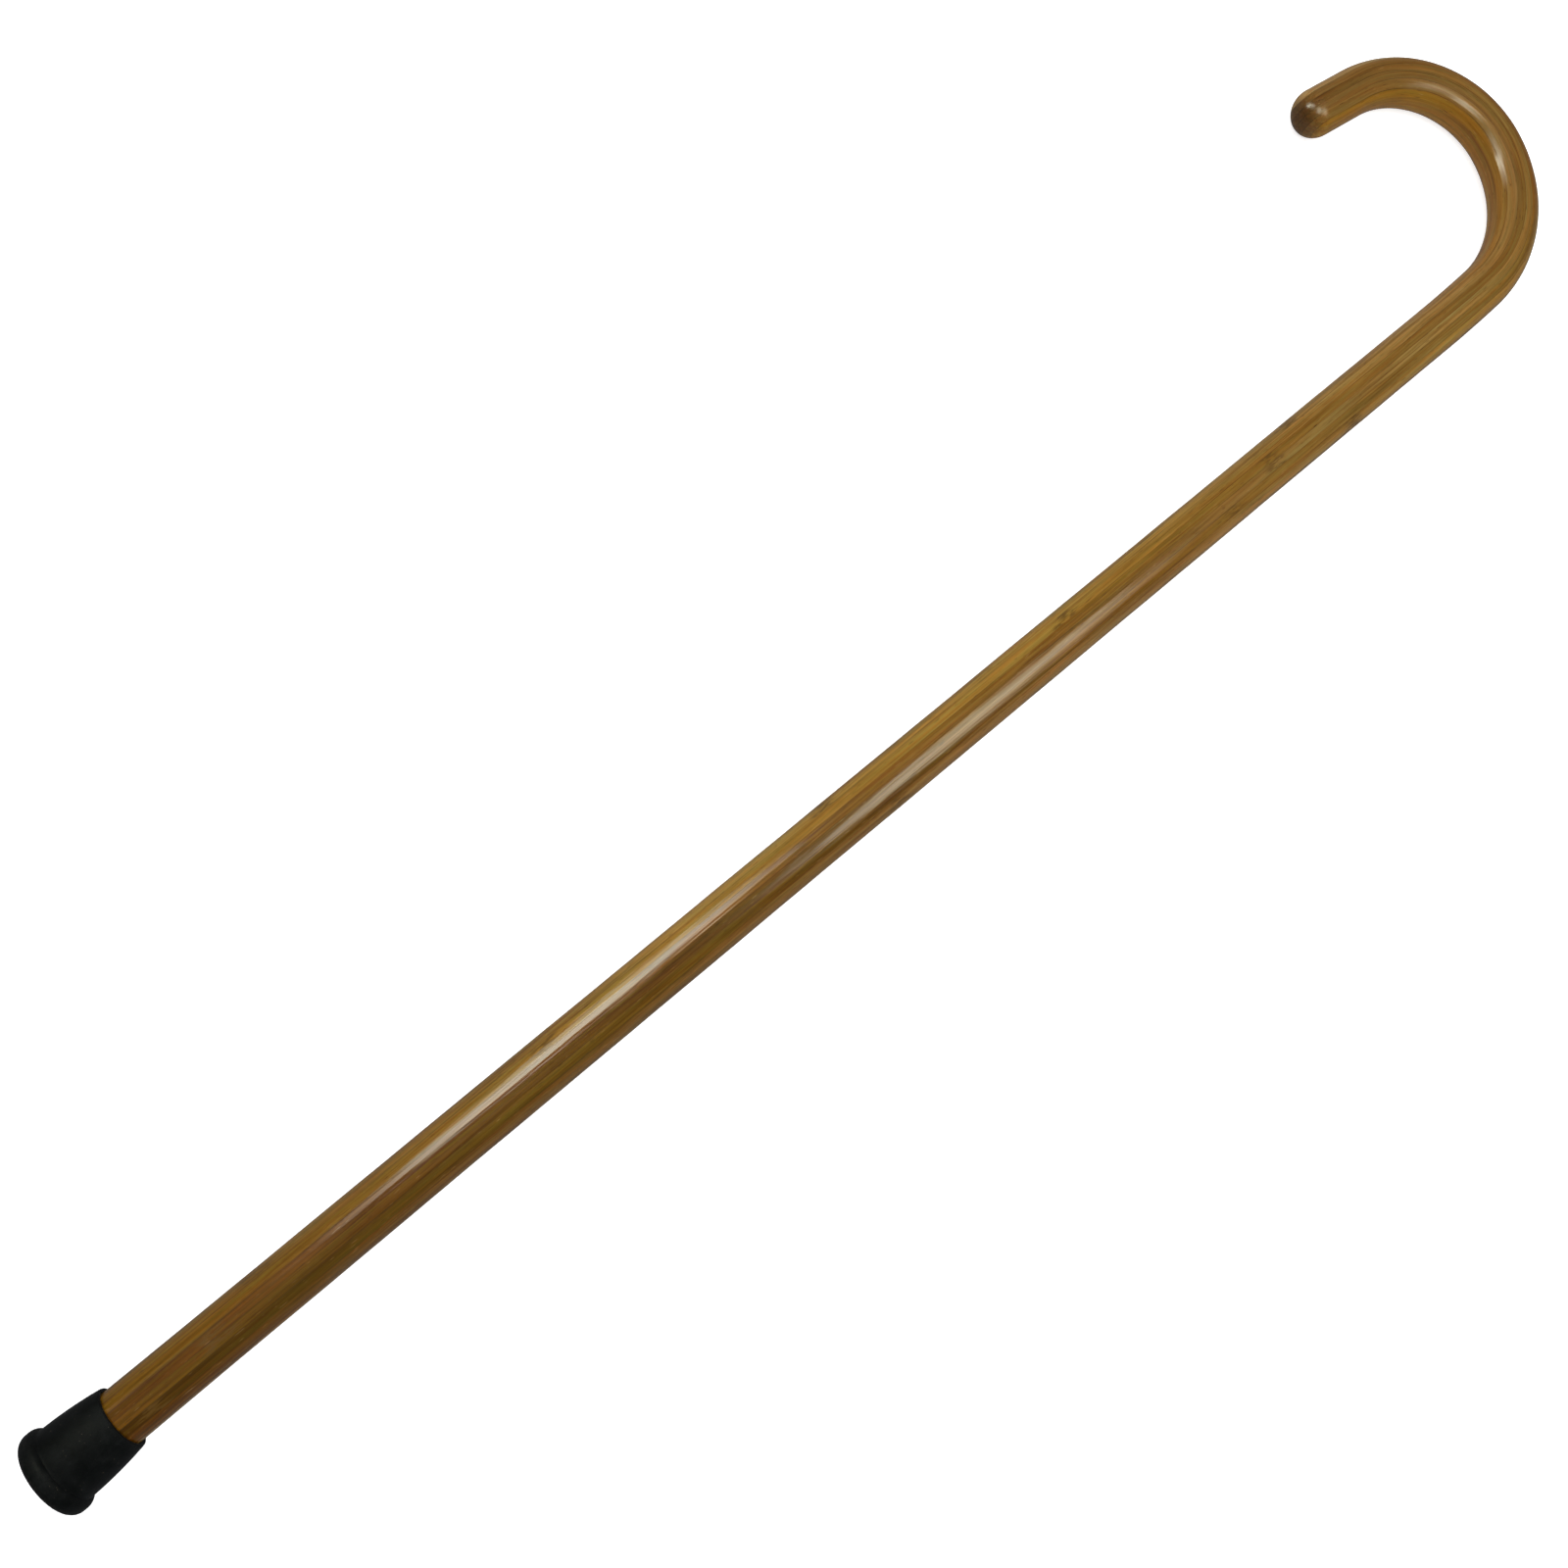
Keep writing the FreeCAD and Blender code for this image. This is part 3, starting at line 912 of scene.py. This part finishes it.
def soft_light(name, shape, centre, aim, length, width, along, radiance):
    """A soft light that faces a point, its length along a direction."""
    data = bpy.data.lights.new(name, "AREA")
    data.shape = shape
    data.size, data.size_y = length, width
    area = length * width * (math.pi / 4 if shape == "ELLIPSE" else 1.0)
    data.energy = radiance * math.pi * area
    light = bpy.data.objects.new(name, data)
    bpy.context.scene.collection.objects.link(light)
    back = (Vector(centre) - Vector(aim)).normalized()
    across = Vector(along)
    across = (across - across.dot(back) * back).normalized()
    up = back.cross(across)
    turn = Matrix((across, up, back)).transposed().to_4x4()
    light.matrix_world = Matrix.Translation(centre) @ turn
    light.visible_camera = False
    return light


# The lights that are seen in the varnish are ovals behind a grid that keeps each to one
# stretch of the cane: centre, point faced, length, width, direction of the length, half
# angle of the grid in degrees, radiance, colour
CREAM = (0.96, 1.0, 0.82)
WARM = (1.0, 0.96, 0.74)
LEFT_AIM, RIGHT_AIM = (-0.17, -0.06, 0.02), (0.05, -0.06, 0.02)
INNER_AIM, TOP_AIM = (0.44, 0.10, 0.03), (0.42, 0.08, 0.03)
GLINTS = {
    "left_core": ((-0.18, 0.40, 0.75), LEFT_AIM, 0.46, 0.52, (0, 1, 0), 44, 8.0, CREAM),
    "left": ((-0.17, 0.69, 0.75), LEFT_AIM, 0.82, 0.44, (0.1, 1, 0), 44, 6.0, CREAM),
    "right_core": ((0.22, -0.34, 0.60), RIGHT_AIM, 0.46, 0.36, (0.2, -1, 0), 40, 4.9, WARM),
    "right": ((0.29, -0.40, 0.60), RIGHT_AIM, 0.80, 0.38, (0.25, -1, 0), 40, 3.8, WARM),
    "crook_inner": ((-1.15, 1.85, 1.60), INNER_AIM, 1.10, 0.58, (-1, 1, 0), 16, 15.0, CREAM),
    "crook_top": ((-0.125, -0.21, 1.20), TOP_AIM, 0.72, 0.50, (-0.5, -0.8, 0), 22, 7.8, CREAM),
}
OVERHEAD_HEIGHT = 2.4
OVERHEAD_SIZE = 3.4
OVERHEAD_RADIANCE = 3.0
# Brightness of the surroundings: on matt surfaces, in gloss above and below the horizon,
# changing over between two heights on the unit sphere, and straight to the camera
AMBIENT = 0.22
GLOSS_ABOVE, GLOSS_BELOW = 0.04, 0.15
GLOSS_TOP, GLOSS_FOOT = 0.25, -0.4
BACKDROP = 1.0


def studio():
    """The overhead light isn't seen in gloss, and the glints are seen only in gloss."""
    size, above = OVERHEAD_SIZE, (0.0, 0.0, OVERHEAD_HEIGHT)
    overhead = soft_light(
        "overhead", "RECTANGLE", above, (0.0, 0.0, 0.0), size, size, (1, 0, 0), OVERHEAD_RADIANCE)
    overhead.visible_glossy = False
    for name, (centre, aim, length, width, along, grid, radiance, colour) in GLINTS.items():
        half = math.radians(grid)
        # a narrower spread makes a lamp brighter head on by 1 / kept, which this takes back
        kept = (math.tan(half) - half) / math.tan(half)
        glint = soft_light(name, "ELLIPSE", centre, aim, length, width, along, radiance * kept)
        glint.data.spread = 2 * half
        glint.data.color = colour
        glint.visible_diffuse = False
    world = bpy.data.worlds.new("studio")
    world.use_nodes = True
    nodes, links = world.node_tree.nodes, world.node_tree.links
    background = nodes["Background"]
    ray = nodes.new("ShaderNodeLightPath")
    place = nodes.new("ShaderNodeTexCoord")
    split = nodes.new("ShaderNodeSeparateXYZ")
    links.new(place.outputs["Generated"], split.inputs[0])
    level = nodes.new("ShaderNodeMapRange")
    links.new(split.outputs["Z"], level.inputs["Value"])
    ranges = {
        "From Min": GLOSS_FOOT, "From Max": GLOSS_TOP,
        "To Min": GLOSS_BELOW, "To Max": GLOSS_ABOVE,
    }
    for name, number in ranges.items():
        level.inputs[name].default_value = number
    in_gloss = nodes.new("ShaderNodeMix")
    links.new(ray.outputs["Is Glossy Ray"], in_gloss.inputs["Factor"])
    in_gloss.inputs["A"].default_value = AMBIENT
    links.new(level.outputs["Result"], in_gloss.inputs["B"])
    strength = nodes.new("ShaderNodeMix")
    links.new(ray.outputs["Is Camera Ray"], strength.inputs["Factor"])
    links.new(in_gloss.outputs["Result"], strength.inputs["A"])
    strength.inputs["B"].default_value = BACKDROP
    background.inputs["Color"].default_value = (1, 1, 1, 1)
    links.new(strength.outputs["Result"], background.inputs["Strength"])
    bpy.context.scene.world = world
    bpy.context.scene.view_settings.view_transform = "Standard"


# The camera looks down on the cane from about 0.65 m, with the foot at the lower left
CAMERA_PLACE = (-0.2022, -0.0522, 0.6519)
CAMERA_AHEAD = (0.2145, 0.0343, -0.9761)
CAMERA_RIGHT = (0.7580, -0.6362, 0.1442)
SENSOR_WIDTH, FOCAL_LENGTH = 36.0, 33.967     # millimetres


def camera():
    data = bpy.data.cameras.new("camera")
    data.sensor_width = SENSOR_WIDTH
    data.lens = FOCAL_LENGTH
    data.clip_start, data.clip_end = 0.01, 50
    holder = bpy.data.objects.new("camera", data)
    bpy.context.scene.collection.objects.link(holder)
    ahead = Vector(CAMERA_AHEAD).normalized()
    right = Vector(CAMERA_RIGHT)
    right = (right - right.dot(ahead) * ahead).normalized()
    turn = Matrix((right, right.cross(ahead), -ahead)).transposed().to_4x4()
    holder.matrix_world = Matrix.Translation(CAMERA_PLACE) @ turn
    bpy.context.scene.camera = holder


bamboo_stick()
rubber_ferrule(black_rubber())
steel_washer(zinc_steel())
pale_floor()
studio()
camera()
